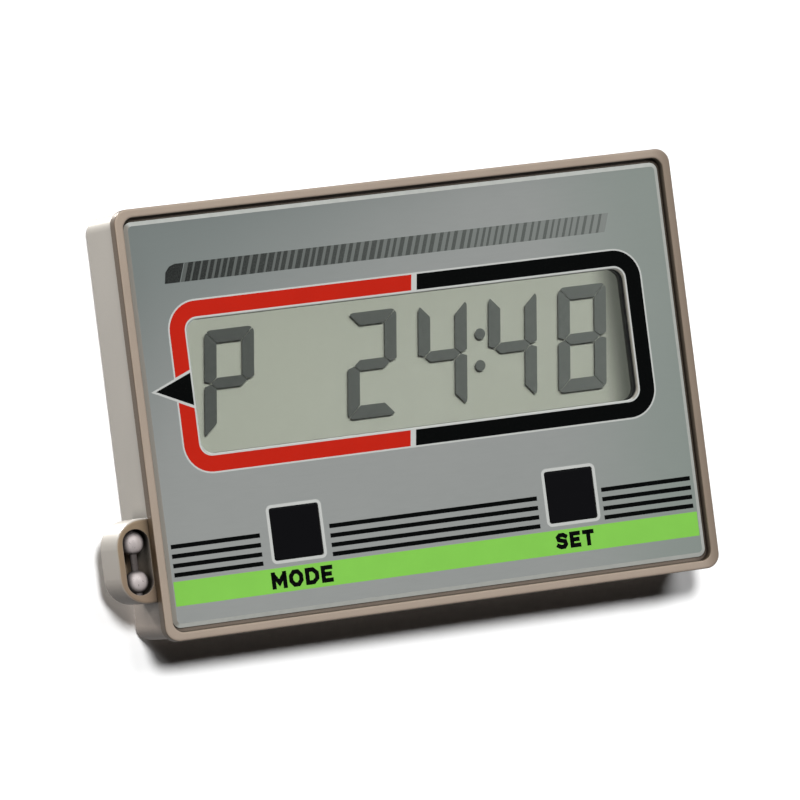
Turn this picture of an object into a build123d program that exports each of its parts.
from build123d import *
import os
from math import atan, cos, degrees, radians, sin

# Pocket fare meter: a flat LCD instrument with two push buttons and a cord lug.
# Millimetres. The origin is the middle of the flat back. +Y points out of the
# back, the display faces -Y, +X is to the right of the display and +Z is up.

# ---- driving dimensions -------------------------------------------------------
WIDTH = 72.0
HEIGHT = 51.5
DEPTH = 12.5
CORNER_R = 1.75
RUN_GAP = 0.08             # radial clearance of every moving fit
SCREW_GAP = 0.05           # radial gap between a screw and its pilot hole

# Case and bezel
SIDE_WALL = 1.2
BACK_WALL = 1.3
BACK_EDGE_R = 1.2
BOTTOM_EDGE_R = 2.2        # the rear edge of the bottom wall is rounder
BEZEL_DEPTH = 1.7
BEZEL_PROUD = 0.3          # how far the bezel stands out past the case walls
RIM = 1.05                 # width of the bezel's front rim
RIM_EDGE_R = 0.25
RIM_INNER_R = 0.2
SKIRT = 1.2                # wall of the bezel's skirt inside the case
SKIRT_DEPTH = 1.5
SKIRT_GAP = 0.1
POST_X = 31.4
POST_Z = 21.2
POST_R = 2.3
POST_GAP = 0.1             # between a post's end and the back wall

# Thicknesses from front to back
PLATE_SETBACK = 0.85       # the face plate lies this far behind the bezel's rim
PLATE_T = 0.5
PANE_T = 0.7
LIP_T = 0.9                # black lip between the pane and the display glass
FILM_T = 0.15
GLASS_T = 0.7
STRIP_ROOM = 1.7           # from the display's back to the board
BOARD_T = 0.8

# Levels from front to back, all as Y
BEZEL_FRONT = -DEPTH
BEZEL_BACK = BEZEL_FRONT + BEZEL_DEPTH
PLATE_FRONT = BEZEL_FRONT + PLATE_SETBACK
PLATE_BACK = PLATE_FRONT + PLATE_T
WINDOW_BACK = PLATE_BACK + PANE_T
LCD_FRONT = WINDOW_BACK + LIP_T
FRONT_GLASS = LCD_FRONT + FILM_T
REAR_GLASS = FRONT_GLASS + GLASS_T
REFLECTOR = REAR_GLASS + GLASS_T
LCD_BACK = REFLECTOR + FILM_T
BOARD_FRONT = LCD_BACK + STRIP_ROOM
BOARD_BACK = BOARD_FRONT + BOARD_T
CASE_FLOOR = -BACK_WALL

# Face plate
PLATE_GAP_X = 0.3          # between the plate and the bezel's rim, at the left and right
PLATE_GAP_Z = 0.5          # the same above and below
PLATE_R = 1.0
BEVEL_WIDTH = 0.5
BEVEL_DEPTH = 0.3
OPENING_W = 56.7
OPENING_H = 16.05
OPENING_Z = 3.875
OPENING_R = 1.6
OPENING_CHAMFER = 0.18
HOLE_R = 0.3

# Display stack
PANE_W = 59.5
PANE_H = 19.0
PANE_R = 1.0
PANE_GAP = 0.1
HOLDER_W = 65.4
HOLDER_H = 25.0
HOLDER_R = 1.5
POCKET_R = 0.3
GLASS_W = 60.0
GLASS_H = 21.4
CONTACT_LEDGE = 2.2        # strip of front glass left bare above and below
GLASS_R = 0.2
FILM_INSET = 0.5
STRIP_L = 54.0
STRIP_T = 1.8

# Buttons and switches
BUTTON = 6.1
BUTTON_GAP = 0.1
BUTTON_X = 17.85
BUTTON_Z = -14.7
BUTTON_PROUD = 0.15
BUTTON_R = 0.25
BUTTON_EDGE_R = 0.12
FLANGE = 7.6
FLANGE_R = 0.6
FLANGE_T = 0.7
FLANGE_GAP = 0.1
SWITCH = 6.0
SWITCH_R = 0.5
SWITCH_H = 2.8
SWITCH_ROOF = 0.5
SWITCH_FLOOR = 0.5
SWITCH_CAVITY_R = 2.25
PLUNGER_R = 1.5
PLUNGER_PROUD = 0.8
COLLAR_R = 2.1
COLLAR_T = 0.6
COLLAR_GAP = 0.05
NUB_R = 0.8
DOME_R = 2.0
DOME_RISE = 0.38
DOME_T = 0.08

# Board
BOARD_W = 65.8
BOARD_H = 45.4
BOARD_R = 0.8
BOARD_NOTCH_R = 2.6
BOARD_SCREW_DZ = 9.0
SUPPORT_X = 12.0
SUPPORT_Z = 21.6
SUPPORT_R = 0.9
CHIP_X = 9.0
CHIP_Z = -8.5
CHIP_R = 4.2
CHIP_RISE = 1.3
CRYSTAL_X = 2.5
CRYSTAL_Z = 12.0
CRYSTAL_R = 1.0
CRYSTAL_L = 6.0
LEAD_T = 0.26
LEAD_L = 1.2
LEAD_DX = 0.35
CAPACITOR_X = (18.0, 21.0, 24.0)
CAPACITOR_Z = -13.5
CAPACITOR_SIZE = (1.25, 2.0, 0.9)
RESISTOR_X = (17.0, 19.0, 21.0, 23.0)
RESISTOR_Z = -5.0
RESISTOR_SIZE = (0.8, 1.6, 0.45)

# Battery and its cover
CELL_X = -15.5
CELL_Z = -2.0
CELL_R = 10.0
CELL_T = 3.2
CELL_CAP_R = 8.8
CELL_CAP_T = 0.25
CELL_EDGE_R = 0.3
CELL_ROOM = 0.3            # between the board and the cell, for the contact leaf
CELL_FRONT = BOARD_BACK + CELL_ROOM
LEAF_T = 0.2
LEAF_W = 4.0
LEAF_FOOT = 2.6
LEAF_TAIL = -12.5          # along Z from the cell's centre, as are the next three
LEAF_FLAT = 2.5
LEAF_KNEE = 6.5
LEAF_TIP = 7.5
RING_R = 11.4
RING_GAP = 0.25
RING_END_GAP = 0.17        # between the holder ring and the cover
RING_SIDE_SLOT = 4.8
RING_LEAF_SLOT = 4.8
COVER_RECESS = 0.1
FLANGE_DEPTH = 0.7
COVER_FLANGE_R = 13.4
COVER_HUB_R = 11.5
COVER_TAB_R = 12.7
COVER_TAB_T = 0.8
COVER_TAB_ANGLE = 28.0
NOTCH_GAP = 0.15
NOTCH_EXTRA_ANGLE = 6.0
STOP_ANGLE = 24.0
STOP_GAP_ANGLE = 3.0       # from a tab's edge at rest to the stop beside it
STOP_CLEARANCE = 0.4       # between the cover's hub and a stop
STOP_T = 1.0               # how far a stop reaches out past the tabs
STOP_ROOT = 0.2            # how far a stop is sunk into the back wall
COVER_TABS = 3
COVER_TURN = 60.0
COVER_WEB = 1.4
COVER_EDGE_R = 0.2
COVER_CELL_GAP = 0.4
COIN_SLOT_L = 15.0
COIN_SLOT_W = 1.7
COIN_SLOT_D = 0.75
COVER_DOT_ANGLE = 90.0     # where the cover's dot stands when it is locked
INDEX_DOT_R = 0.45
INDEX_DOT_D = 0.15
INDEX_DOT_OUT = 1.2        # from the cover's rim to the dots on the case
INDEX_DOT_IN = 1.6         # from the cover's rim to its own dot

# Buzzer
BUZZER_X = 20.5
BUZZER_Z = 8.0
BUZZER_R = 7.5
BUZZER_T = 0.2
CERAMIC_R = 5.0
CERAMIC_T = 0.2
BUZZER_SEAT_H = 1.0
BUZZER_SEAT_RIM = 0.5      # how far the seat reaches past the disc
BUZZER_SEAT_T = 1.4
SOUND_HOLE_R = 0.5
SOUND_RING_R = 2.2
SOUND_RING_COUNT = 6
SPRING_WIRE_R = 0.12
SPRING_R = 0.8
SPRING_TURNS = 4.5
SPRING_OUT = 1.3           # from the ceramic's edge to the outer spring

# Screws
CASE_SCREW_R = 0.7
CASE_HEAD_R = 1.7
CASE_HEAD_T = 0.7
CASE_HEAD_DEPTH = 0.75
CASE_SCREW_L = 7.0
CASE_HEAD_EDGE_R = 0.25
CASE_HEAD_GAP = 0.1
CASE_HOLE_GAP = 0.15
CASE_CROSS = 2.1
BOARD_SCREW_R = 0.6
BOARD_HEAD_R = 1.4
BOARD_HEAD_T = 0.7
BOARD_SCREW_L = 3.6
BOARD_HEAD_EDGE_R = 0.2
BOARD_HOLE_GAP = 0.2
BOARD_CROSS = 1.7
PILOT_EXTRA = 0.35         # how much deeper a pilot hole is than its screw
CROSS_W = 0.38
CROSS_DEPTH = 0.4

# Cord lug and its pin
LUG_OUT = 4.5              # from the case wall to the lug's outer edge
LUG_H = 10.1
LUG_Z = -15.85
LUG_R = 3.3
LUG_FRONT = BEZEL_BACK + 0.12
LUG_DEPTH = 6.3
LUG_EDGE_R = 0.35
SLOT_W = 3.3
SLOT_H = 7.9
SLOT_FLOOR = 1.0           # the slot is open to the front only
LUG_RIM = 0.8
PIN_BALL_R = 1.45
PIN_BALL_DZ = 2.35         # from the pin's middle to each ball's centre
PIN_NECK_R = 0.45
PIN_END_R = 0.6
PIN_END_GAP = 0.01
PIN_SETBACK = 0.1          # from the lug's front to the balls' front
PIN_INSET = 0.6            # how far its ends stay inside the lug, which is moulded round them

# ---- derived sizes --------------------------------------------------------------
CASE_W = WIDTH - 2 * BEZEL_PROUD
CASE_H = HEIGHT - 2 * BEZEL_PROUD
INNER_W = CASE_W - 2 * SIDE_WALL
INNER_H = CASE_H - 2 * SIDE_WALL
CASE_SCREW_TIP = -CASE_HEAD_DEPTH - CASE_SCREW_L
COVER_INNER = CASE_FLOOR - COVER_TAB_T - RUN_GAP
RING_BACK = COVER_INNER - RING_END_GAP
SWITCH_TOP = BOARD_FRONT - SWITCH_H
PLUNGER_TIP = SWITCH_TOP - PLUNGER_PROUD
CAVITY_FRONT = SWITCH_TOP + SWITCH_ROOF
CAVITY_BACK = BOARD_FRONT - SWITCH_FLOOR
BUZZER_BACK = CASE_FLOOR - BUZZER_SEAT_H
BUZZER_FRONT = BUZZER_BACK - BUZZER_T
TAB_ANGLES = [tab * 360 / COVER_TABS for tab in range(COVER_TABS)]
NEAR = 0.05                # how close an edge must lie to a place to count as there
CORNERS = [(sx, sz) for sx in (-1, 1) for sz in (-1, 1)]


# ---- helpers --------------------------------------------------------------------
def block(x0, x1, y0, y1, z0, z1):
    """A box from its two corners."""
    centre = Pos((x0 + x1) / 2, (y0 + y1) / 2, (z0 + z1) / 2)
    return centre * Box(x1 - x0, y1 - y0, z1 - z0)


def sheet(outline, front, back):
    """A flat outline drawn in X and Z, filled from Y=front back to Y=back."""
    return extrude(Plane.XZ.offset(-back) * outline, amount=back - front)


def slab(width, height, radius, front, back, x=0.0, z=0.0):
    """A plate with rounded corners, square to Y."""
    outline = Pos(x, z) * RectangleRounded(width, height, radius)
    return sheet(outline, front, back)


def disc(radius, front, back, x=0.0, z=0.0):
    """A round plate, square to Y."""
    return sheet(Pos(x, z) * Circle(radius), front, back)


def sector(radius, middle, width, front, back, x, z):
    """A wedge of a round plate: middle and width are angles from +X towards +Z."""
    half = radians(width / 2)
    reach = radius / cos(half)
    angle = radians(middle)
    ends = [(reach * cos(a), reach * sin(a)) for a in (angle - half, angle + half)]
    wedge = make_face(Polyline((0, 0), ends[0], ends[1], (0, 0)))
    return sheet(Pos(x, z) * (wedge & Circle(radius)), front, back)


def cross_recess(span, outer, depth, x, z):
    """The cross that a screwdriver fits, cut from Y=outer inwards."""
    bars = Rectangle(span, CROSS_W) + Rectangle(CROSS_W, span)
    return sheet(Pos(x, z) * bars, outer - depth, outer)


def ball_radius(cap_r, rise):
    """The radius of the ball whose cap is that wide and that high."""
    return (cap_r ** 2 + rise ** 2) / (2 * rise)


def around(x, z, reach, angle):
    """The point that lies reach away from (x, z), at an angle from +X towards +Z."""
    return x + reach * cos(radians(angle)), z + reach * sin(radians(angle))


def edges_at(part, level):
    """The edges that lie wholly at one Y."""
    return part.edges().filter_by_position(Axis.Y, level - NEAR / 5, level + NEAR / 5)


def outer_loop(part, level, width, height):
    """The edges at one Y that run round a rounded rectangle of that size."""

    def on_outline(edge):
        box = edge.bounding_box()
        on_side = max(abs(box.min.X), abs(box.max.X)) > width / 2 - NEAR
        on_end = max(abs(box.min.Z), abs(box.max.Z)) > height / 2 - NEAR
        return on_side or on_end

    return edges_at(part, level).filter_by(on_outline)


# ---- case and bezel ---------------------------------------------------------------
def lug_outline():
    """The lug's rounded outline. Its right half lies inside the case and is cut away."""
    length = LUG_OUT + 2 * LUG_R
    middle = -CASE_W / 2 - LUG_OUT + length / 2
    return Pos(middle, LUG_Z) * RectangleRounded(length, LUG_H, LUG_R)


def slot_centre_x():
    return -CASE_W / 2 - LUG_OUT + LUG_RIM + SLOT_W / 2


def pin_centre_y():
    return LUG_FRONT + PIN_SETBACK + PIN_BALL_R


def lug():
    body = sheet(lug_outline(), LUG_FRONT, LUG_FRONT + LUG_DEPTH)
    rims = edges_at(body, LUG_FRONT) + edges_at(body, LUG_FRONT + LUG_DEPTH)
    body = fillet(rims, LUG_EDGE_R)
    outline = Pos(slot_centre_x(), LUG_Z) * SlotOverall(SLOT_H, SLOT_W, 90)
    slot = sheet(outline, LUG_FRONT, LUG_FRONT + LUG_DEPTH - SLOT_FLOOR)
    bore_length = LUG_H - 2 * PIN_INSET + 2 * PIN_END_GAP
    bore = Pos(slot_centre_x(), pin_centre_y(), LUG_Z) * Cylinder(PIN_END_R + PIN_END_GAP, bore_length)
    return body - slot - bore


def cover_opening():
    """What the battery cover needs cut from the back wall."""
    cut = disc(COVER_FLANGE_R + RUN_GAP, -FLANGE_DEPTH, 0, CELL_X, CELL_Z)
    cut += disc(COVER_HUB_R + RUN_GAP, CASE_FLOOR, 0, CELL_X, CELL_Z)
    notch_width = COVER_TAB_ANGLE + NOTCH_EXTRA_ANGLE
    for angle in TAB_ANGLES:
        middle = angle - COVER_TURN
        cut += sector(COVER_TAB_R + NOTCH_GAP, middle, notch_width, CASE_FLOOR, 0, CELL_X, CELL_Z)
    return cut


def cover_stops():
    """Blocks inside the back wall that the cover's tabs turn between."""
    front = CASE_FLOOR - COVER_TAB_T
    root = CASE_FLOOR + STOP_ROOT
    core = disc(COVER_HUB_R + STOP_CLEARANCE, front, root, CELL_X, CELL_Z)
    stops = []
    for angle in TAB_ANGLES:
        middle = angle + COVER_TAB_ANGLE / 2 + STOP_GAP_ANGLE + STOP_ANGLE / 2
        wedge = sector(COVER_TAB_R + STOP_T, middle, STOP_ANGLE, front, root, CELL_X, CELL_Z)
        stops.append(wedge - core)
    return stops


def bottom_edge_cut():
    """What rounds off the rear edge of the bottom wall."""
    low = -CASE_H / 2
    half = CASE_W / 2
    corner = block(-half, half, -BOTTOM_EDGE_R, 0, low, low + BOTTOM_EDGE_R)
    roll = Pos(0, -BOTTOM_EDGE_R, low + BOTTOM_EDGE_R) * Rot(0, 90, 0) * Cylinder(BOTTOM_EDGE_R, CASE_W)
    return corner - roll


def buzzer_seat():
    """The low ring inside the back wall that the buzzer disc is glued to."""
    front = CASE_FLOOR - BUZZER_SEAT_H
    outer_r = BUZZER_R + BUZZER_SEAT_RIM
    ring = disc(outer_r, front, CASE_FLOOR, BUZZER_X, BUZZER_Z)
    return ring - disc(outer_r - BUZZER_SEAT_T, front, CASE_FLOOR, BUZZER_X, BUZZER_Z)


def rear_case():
    body = slab(CASE_W, CASE_H, CORNER_R, BEZEL_BACK, 0)
    body = fillet(edges_at(body, 0), BACK_EDGE_R)
    body -= bottom_edge_cut()
    body += lug()
    body -= slab(INNER_W, INNER_H, CORNER_R / 2, BEZEL_BACK, CASE_FLOOR)
    for sx, sz in CORNERS:
        body -= disc(CASE_HEAD_R + CASE_HEAD_GAP, -CASE_HEAD_DEPTH, 0, sx * POST_X, sz * POST_Z)
        body -= disc(CASE_SCREW_R + CASE_HOLE_GAP, CASE_FLOOR, 0, sx * POST_X, sz * POST_Z)
        body += disc(SUPPORT_R, BOARD_BACK, CASE_FLOOR, sx * SUPPORT_X, sz * SUPPORT_Z)
    body -= cover_opening()
    for stop in cover_stops():
        body += stop
    body += buzzer_seat()
    body -= disc(SOUND_HOLE_R, CASE_FLOOR, 0, BUZZER_X, BUZZER_Z)
    for hole in range(SOUND_RING_COUNT):
        x, z = around(BUZZER_X, BUZZER_Z, SOUND_RING_R, hole * 360 / SOUND_RING_COUNT)
        body -= disc(SOUND_HOLE_R, CASE_FLOOR, 0, x, z)
    for angle in (COVER_DOT_ANGLE, COVER_DOT_ANGLE - COVER_TURN):
        x, z = around(CELL_X, CELL_Z, COVER_FLANGE_R + INDEX_DOT_OUT, angle)
        body -= disc(INDEX_DOT_R, -INDEX_DOT_D, 0, x, z)
    return body


def front_bezel():
    body = slab(WIDTH, HEIGHT, CORNER_R, BEZEL_FRONT, BEZEL_BACK)
    body = fillet(edges_at(body, BEZEL_FRONT), RIM_EDGE_R)
    seat_w = WIDTH - 2 * RIM
    seat_h = HEIGHT - 2 * RIM
    body -= slab(seat_w, seat_h, PLATE_R + PLATE_GAP_X, BEZEL_FRONT, PLATE_BACK)
    body = fillet(outer_loop(body, BEZEL_FRONT, seat_w, seat_h), RIM_INNER_R)
    skirt_w = INNER_W - 2 * SKIRT_GAP
    skirt_h = INNER_H - 2 * SKIRT_GAP
    skirt_back = BEZEL_BACK + SKIRT_DEPTH
    body += slab(skirt_w, skirt_h, CORNER_R / 2, BEZEL_BACK, skirt_back)
    body -= slab(skirt_w - 2 * SKIRT, skirt_h - 2 * SKIRT, CORNER_R / 4, PLATE_BACK, skirt_back)
    post_end = CASE_FLOOR - POST_GAP
    pilot_front = CASE_SCREW_TIP - PILOT_EXTRA
    for sx, sz in CORNERS:
        body += disc(POST_R, PLATE_BACK, post_end, sx * POST_X, sz * POST_Z)
        body -= disc(CASE_SCREW_R + SCREW_GAP, pilot_front, post_end, sx * POST_X, sz * POST_Z)
    return body


def case_screws():
    screws = []
    for sx, sz in CORNERS:
        x = sx * POST_X
        z = sz * POST_Z
        outer = CASE_HEAD_T - CASE_HEAD_DEPTH
        head = disc(CASE_HEAD_R, -CASE_HEAD_DEPTH, outer, x, z)
        head = fillet(edges_at(head, outer), CASE_HEAD_EDGE_R)
        screw = head + disc(CASE_SCREW_R, CASE_SCREW_TIP, -CASE_HEAD_DEPTH, x, z)
        screws.append(screw - cross_recess(CASE_CROSS, outer, CROSS_DEPTH, x, z))
    return screws


def cord_pin():
    """A turned pin across the lug's slot: two balls with a thin waist between them."""
    stub = LUG_H / 2 - PIN_INSET - PIN_BALL_DZ
    pin = Cylinder(PIN_NECK_R, 2 * PIN_BALL_DZ)
    for side in (-1, 1):
        pin += Pos(0, 0, side * PIN_BALL_DZ) * Sphere(PIN_BALL_R)
        pin += Pos(0, 0, side * (PIN_BALL_DZ + stub / 2)) * Cylinder(PIN_END_R, stub)
    return Pos(slot_centre_x(), pin_centre_y(), LUG_Z) * pin


# ---- face -------------------------------------------------------------------------
def face_plate():
    width = WIDTH - 2 * RIM - 2 * PLATE_GAP_X
    height = HEIGHT - 2 * RIM - 2 * PLATE_GAP_Z
    bevel_back = PLATE_FRONT + BEVEL_DEPTH
    plate = slab(width, height, PLATE_R, bevel_back, PLATE_BACK)
    outline = RectangleRounded(width, height, PLATE_R)
    lean = degrees(atan(BEVEL_WIDTH / BEVEL_DEPTH))
    plate += extrude(Plane.XZ.offset(-bevel_back) * outline, amount=BEVEL_DEPTH, taper=lean)
    opening = Pos(0, OPENING_Z) * RectangleRounded(OPENING_W, OPENING_H, OPENING_R)
    plate -= sheet(opening, PLATE_FRONT, PLATE_BACK)
    for side in (-1, 1):
        hole = BUTTON + 2 * BUTTON_GAP
        plate -= slab(hole, hole, HOLE_R, PLATE_FRONT, PLATE_BACK, side * BUTTON_X, BUTTON_Z)

    def round_opening(edge):
        near_x = abs(edge.center().X) < OPENING_W / 2 + NEAR
        return near_x and abs(edge.center().Z - OPENING_Z) < OPENING_H / 2 + NEAR

    return chamfer(edges_at(plate, PLATE_FRONT).filter_by(round_opening), OPENING_CHAMFER)


def display_window():
    return slab(PANE_W, PANE_H, PANE_R, PLATE_BACK, WINDOW_BACK, 0, OPENING_Z)


def board_screw_places():
    return [(sx * POST_X, OPENING_Z + sz * BOARD_SCREW_DZ) for sx, sz in CORNERS]


def lcd_holder():
    body = slab(HOLDER_W, HOLDER_H, HOLDER_R, PLATE_BACK, BOARD_FRONT, 0, OPENING_Z)
    pane_w = PANE_W + 2 * PANE_GAP
    pane_h = PANE_H + 2 * PANE_GAP
    body -= slab(pane_w, pane_h, PANE_R, PLATE_BACK, WINDOW_BACK, 0, OPENING_Z)
    body -= slab(OPENING_W, OPENING_H, OPENING_R, WINDOW_BACK, LCD_FRONT, 0, OPENING_Z)
    pocket_w = GLASS_W + 2 * PANE_GAP
    pocket_h = GLASS_H + 2 * PANE_GAP
    body -= slab(pocket_w, pocket_h, POCKET_R, LCD_FRONT, BOARD_FRONT, 0, OPENING_Z)
    pilot_front = BOARD_BACK - BOARD_SCREW_L - PILOT_EXTRA
    for x, z in board_screw_places():
        body -= disc(BOARD_SCREW_R + SCREW_GAP, pilot_front, BOARD_FRONT, x, z)
    return body


# ---- display ------------------------------------------------------------------------
def lcd_front_polariser():
    width = GLASS_W - 2 * FILM_INSET
    height = GLASS_H - 2 * FILM_INSET
    return slab(width, height, GLASS_R, LCD_FRONT, FRONT_GLASS, 0, OPENING_Z)


def lcd_front_glass():
    return slab(GLASS_W, GLASS_H, GLASS_R, FRONT_GLASS, REAR_GLASS, 0, OPENING_Z)


def lcd_rear_glass():
    height = GLASS_H - 2 * CONTACT_LEDGE
    return slab(GLASS_W, height, GLASS_R, REAR_GLASS, REFLECTOR, 0, OPENING_Z)


def lcd_reflector():
    width = GLASS_W - 2 * FILM_INSET
    height = GLASS_H - 2 * CONTACT_LEDGE - 2 * FILM_INSET
    return slab(width, height, GLASS_R, REFLECTOR, LCD_BACK, 0, OPENING_Z)


def zebra_strips():
    """Elastomer strips that press between the front glass's bare ledges and the board."""
    reach = GLASS_H / 2 - CONTACT_LEDGE / 2
    strips = []
    for side in (-1, 1):
        z = OPENING_Z + side * reach
        strips.append(slab(STRIP_L, STRIP_T, GLASS_R, REAR_GLASS, BOARD_FRONT, 0, z))
    return strips


# ---- buttons and switches --------------------------------------------------------------
def button(side):
    """A square cap that slides in the face plate, held in by a flange behind it."""
    x = side * BUTTON_X
    cap_front = PLATE_FRONT - BUTTON_PROUD
    flange_front = PLATE_BACK + FLANGE_GAP
    flange_back = flange_front + FLANGE_T
    cap = slab(BUTTON, BUTTON, BUTTON_R, cap_front, flange_front, x, BUTTON_Z)
    cap = fillet(edges_at(cap, cap_front), BUTTON_EDGE_R)
    cap += slab(FLANGE, FLANGE, FLANGE_R, flange_front, flange_back, x, BUTTON_Z)
    cap += disc(PLUNGER_R, flange_back, PLUNGER_TIP, x, BUTTON_Z)
    return cap


def switch_body(side):
    x = side * BUTTON_X
    body = slab(SWITCH, SWITCH, SWITCH_R, SWITCH_TOP, BOARD_FRONT, x, BUTTON_Z)
    body -= disc(SWITCH_CAVITY_R, CAVITY_FRONT, CAVITY_BACK, x, BUTTON_Z)
    body -= disc(PLUNGER_R + RUN_GAP, SWITCH_TOP, CAVITY_FRONT, x, BUTTON_Z)
    return body


def switch_plunger(side):
    x = side * BUTTON_X
    collar_front = CAVITY_FRONT + COLLAR_GAP
    collar_back = collar_front + COLLAR_T
    nub_back = CAVITY_BACK - DOME_RISE - DOME_T
    plunger = disc(PLUNGER_R, PLUNGER_TIP, collar_front, x, BUTTON_Z)
    plunger += disc(COLLAR_R, collar_front, collar_back, x, BUTTON_Z)
    plunger += disc(NUB_R, collar_back, nub_back, x, BUTTON_Z)
    return plunger


def switch_dome(side):
    """A dished spring disc that the plunger pushes flat."""
    ball_r = ball_radius(DOME_R, DOME_RISE)
    shell = Sphere(ball_r) - Sphere(ball_r - DOME_T)
    cap = shell & (Pos(0, 0, ball_r - DOME_RISE / 2) * Box(3 * DOME_R, 3 * DOME_R, DOME_RISE))
    seated = Pos(0, 0, DOME_RISE - ball_r) * cap
    return Pos(side * BUTTON_X, CAVITY_BACK, BUTTON_Z) * Rot(90, 0, 0) * seated


# ---- board ------------------------------------------------------------------------------
def main_board():
    board = slab(BOARD_W, BOARD_H, BOARD_R, BOARD_FRONT, BOARD_BACK)
    for sx, sz in CORNERS:
        board -= disc(BOARD_NOTCH_R, BOARD_FRONT, BOARD_BACK, sx * POST_X, sz * POST_Z)
    for x, z in board_screw_places():
        board -= disc(BOARD_SCREW_R + BOARD_HOLE_GAP, BOARD_FRONT, BOARD_BACK, x, z)
    return board


def board_screws():
    screws = []
    outer = BOARD_BACK + BOARD_HEAD_T
    for x, z in board_screw_places():
        head = disc(BOARD_HEAD_R, BOARD_BACK, outer, x, z)
        head = fillet(edges_at(head, outer), BOARD_HEAD_EDGE_R)
        screw = head + disc(BOARD_SCREW_R, BOARD_BACK - BOARD_SCREW_L, BOARD_BACK, x, z)
        screws.append(screw - cross_recess(BOARD_CROSS, outer, CROSS_DEPTH, x, z))
    return screws


def clock_chip():
    """The epoxy blob over the chip: a low cap of a ball."""
    ball_r = ball_radius(CHIP_R, CHIP_RISE)
    ball = Pos(CHIP_X, BOARD_BACK + CHIP_RISE - ball_r, CHIP_Z) * Sphere(ball_r)
    return ball & disc(2 * CHIP_R, BOARD_BACK, BOARD_BACK + 2 * CHIP_RISE, CHIP_X, CHIP_Z)


def quartz_crystal():
    """A watch crystal's can lying on the board, with its two bent leads."""
    y = BOARD_BACK + CRYSTAL_R
    can = Pos(CRYSTAL_X, y, CRYSTAL_Z) * Cylinder(CRYSTAL_R, CRYSTAL_L)
    can = fillet(can.edges().filter_by(GeomType.CIRCLE), CRYSTAL_R / 4)
    half = LEAD_T / 2
    top = CRYSTAL_Z - CRYSTAL_L / 2
    foot = top - LEAD_L
    for side in (-1, 1):
        x = CRYSTAL_X + side * LEAD_DX
        can += block(x - half, x + half, y - half, y + half, foot, top)
        can += block(x - half, x + half, BOARD_BACK, y + half, foot, foot + LEAD_T)
    return can


def chips(places, z, size):
    """A row of small blocks soldered to the board's back. The size is wide, tall, thick."""
    width, height, thickness = size
    top = BOARD_BACK + thickness
    return [slab(width, height, width / 12, BOARD_BACK, top, x, z) for x in places]


def ceramic_capacitors():
    return chips(CAPACITOR_X, CAPACITOR_Z, CAPACITOR_SIZE)


def chip_resistors():
    return chips(RESISTOR_X, RESISTOR_Z, RESISTOR_SIZE)


# ---- battery -----------------------------------------------------------------------------
def battery_cell():
    """A 20 mm coin cell: the wide can is its positive side, towards the back."""
    can_front = CELL_FRONT + CELL_CAP_T
    can_back = CELL_FRONT + CELL_T
    can = disc(CELL_R, can_front, can_back, CELL_X, CELL_Z)
    can = fillet(edges_at(can, can_back), CELL_EDGE_R)
    return can + disc(CELL_CAP_R, CELL_FRONT, can_front, CELL_X, CELL_Z)


def battery_holder():
    """The ring on the board that centres the cell, open where the two contacts pass."""
    inner_r = CELL_R + RING_GAP
    ring = disc(RING_R, BOARD_BACK, RING_BACK, CELL_X, CELL_Z)
    ring -= disc(inner_r, BOARD_BACK, RING_BACK, CELL_X, CELL_Z)
    half = RING_SIDE_SLOT / 2
    right = CELL_X + RING_R
    side = block(right - LEAF_FOOT, right + 1, BOARD_BACK, RING_BACK, CELL_Z - half, CELL_Z + half)
    half = RING_LEAF_SLOT / 2
    low = CELL_Z - RING_R
    leaf_top = BOARD_BACK + 2 * LEAF_T
    under = block(CELL_X - half, CELL_X + half, BOARD_BACK, leaf_top, low - 1, low + LEAF_FOOT)
    return ring - side - under


def battery_contact_neg():
    """A leaf that bows up from the board to press on the cell's negative cap."""
    bow = CELL_ROOM - LEAF_T
    rises = {LEAF_TAIL: 0, -LEAF_KNEE: 0, -LEAF_FLAT: bow, LEAF_FLAT: bow, LEAF_KNEE: 0, LEAF_TIP: 0}
    near = [(BOARD_BACK + rise, CELL_Z + along) for along, rise in rises.items()]
    far = [(y + LEAF_T, z) for y, z in reversed(near)]
    side = make_face(Polyline(*near, *far, near[0]))
    return extrude(Plane.YZ.offset(CELL_X - LEAF_W / 2) * side, amount=LEAF_W)


def battery_contact_pos():
    """An angle strip on the board whose upright presses on the cell's side."""
    wall = CELL_X + CELL_R
    half = LEAF_W / 2
    upright = block(wall, wall + LEAF_T, BOARD_BACK, RING_BACK, CELL_Z - half, CELL_Z + half)
    foot_back = BOARD_BACK + LEAF_T
    foot = block(wall, wall + LEAF_FOOT, BOARD_BACK, foot_back, CELL_Z - half, CELL_Z + half)
    return upright + foot


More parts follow.
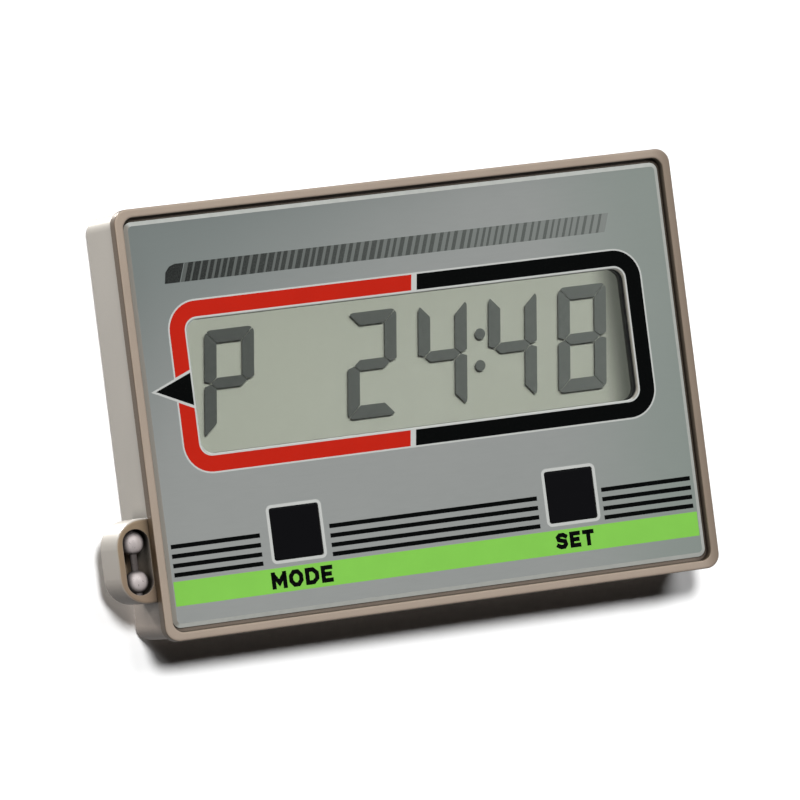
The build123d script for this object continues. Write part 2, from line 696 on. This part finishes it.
def battery_cover():
    """A coin-slot cover held by three tabs, freed by a sixth of a turn."""
    outer = -COVER_RECESS
    flange_inner = RUN_GAP - FLANGE_DEPTH
    cover = disc(COVER_FLANGE_R, flange_inner, outer, CELL_X, CELL_Z)
    cover = fillet(edges_at(cover, outer), COVER_EDGE_R)
    cover += disc(COVER_HUB_R, COVER_INNER, flange_inner, CELL_X, CELL_Z)
    for angle in TAB_ANGLES:
        tab_outer = CASE_FLOOR - RUN_GAP
        cover += sector(COVER_TAB_R, angle, COVER_TAB_ANGLE, COVER_INNER, tab_outer, CELL_X, CELL_Z)
    cover -= disc(CELL_R + COVER_CELL_GAP, COVER_INNER, outer - COVER_WEB, CELL_X, CELL_Z)
    slot_floor = outer - COIN_SLOT_D
    cover -= sheet(Pos(CELL_X, CELL_Z) * SlotOverall(COIN_SLOT_L, COIN_SLOT_W, 90), slot_floor, outer)
    x, z = around(CELL_X, CELL_Z, COVER_FLANGE_R - INDEX_DOT_IN, COVER_DOT_ANGLE)
    return cover - disc(INDEX_DOT_R, outer - INDEX_DOT_D, outer, x, z)


# ---- buzzer --------------------------------------------------------------------------------
def buzzer_disc():
    return disc(BUZZER_R, BUZZER_FRONT, BUZZER_BACK, BUZZER_X, BUZZER_Z)


def buzzer_ceramic():
    return disc(CERAMIC_R, BUZZER_FRONT - CERAMIC_T, BUZZER_FRONT, BUZZER_X, BUZZER_Z)


def contact_spring(x, z, far):
    """A small coil from the board back to Y=far."""
    height = far - BOARD_BACK - 2 * SPRING_WIRE_R
    path = Helix(height / SPRING_TURNS, height, SPRING_R)
    wire = Plane(path @ 0, z_dir=path % 0) * Circle(SPRING_WIRE_R)
    return Pos(x, BOARD_BACK + SPRING_WIRE_R, z) * Rot(-90, 0, 0) * sweep(wire, path)


def buzzer_springs():
    outer_x = BUZZER_X + CERAMIC_R + SPRING_OUT
    return [
        contact_spring(BUZZER_X, BUZZER_Z, BUZZER_FRONT - CERAMIC_T),
        contact_spring(outer_x, BUZZER_Z, BUZZER_FRONT),
    ]


# ---- export ---------------------------------------------------------------------------------
PARTS = {
    "rear_case": rear_case,
    "front_bezel": front_bezel,
    "face_plate": face_plate,
    "display_window": display_window,
    "lcd_holder": lcd_holder,
    "lcd_front_polariser": lcd_front_polariser,
    "lcd_front_glass": lcd_front_glass,
    "lcd_rear_glass": lcd_rear_glass,
    "lcd_reflector": lcd_reflector,
    "zebra_strips": zebra_strips,
    "mode_button": lambda: button(-1),
    "set_button": lambda: button(1),
    "mode_switch_body": lambda: switch_body(-1),
    "set_switch_body": lambda: switch_body(1),
    "mode_switch_plunger": lambda: switch_plunger(-1),
    "set_switch_plunger": lambda: switch_plunger(1),
    "mode_switch_dome": lambda: switch_dome(-1),
    "set_switch_dome": lambda: switch_dome(1),
    "main_board": main_board,
    "clock_chip": clock_chip,
    "quartz_crystal": quartz_crystal,
    "ceramic_capacitors": ceramic_capacitors,
    "chip_resistors": chip_resistors,
    "battery_cell": battery_cell,
    "battery_holder": battery_holder,
    "battery_contact_neg": battery_contact_neg,
    "battery_contact_pos": battery_contact_pos,
    "battery_cover": battery_cover,
    "buzzer_disc": buzzer_disc,
    "buzzer_ceramic": buzzer_ceramic,
    "buzzer_springs": buzzer_springs,
    "case_screws": case_screws,
    "board_screws": board_screws,
    "cord_pin": cord_pin,
}


def main():
    os.makedirs("parts", exist_ok=True)
    for name, make in PARTS.items():
        made = make()
        shape = Compound(children=made) if isinstance(made, list) else made
        export_step(shape, f"parts/{name}.step")


main()
